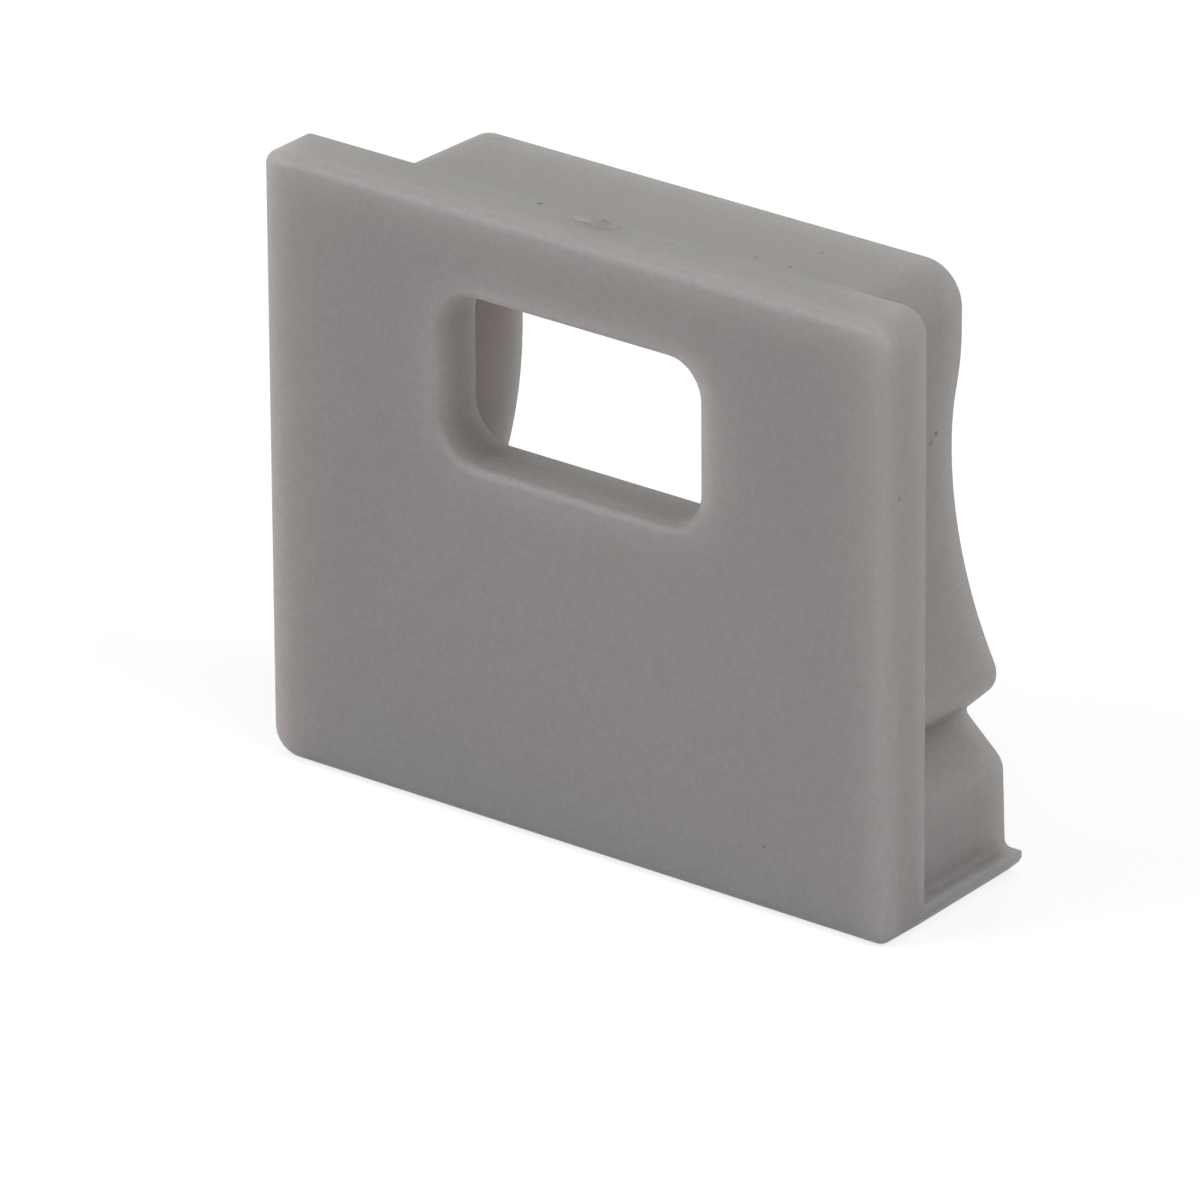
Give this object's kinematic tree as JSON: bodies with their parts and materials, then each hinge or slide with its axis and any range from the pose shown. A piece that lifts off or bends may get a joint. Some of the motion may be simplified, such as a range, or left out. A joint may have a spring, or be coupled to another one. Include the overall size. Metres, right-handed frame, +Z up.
{
  "type": "profile end cap",
  "caption": "Moulded end cap that plugs into the end of a surface-mounted aluminium light profile, with a cable hole through its face.",
  "frame": {"origin": "middle of the part's footprint, on the flat underside that it stands on", "axes": "+X across the face, +Y from the face into the profile, +Z up from the foot to the top of the plug"},
  "size_m": [0.016, 0.0046, 0.0137],
  "materials": {
    "end_cap": "matte as moulded, grey"
  },
  "bodies": {
    "root": {"end_cap": "end_cap"}
  },
  "joints": []
}
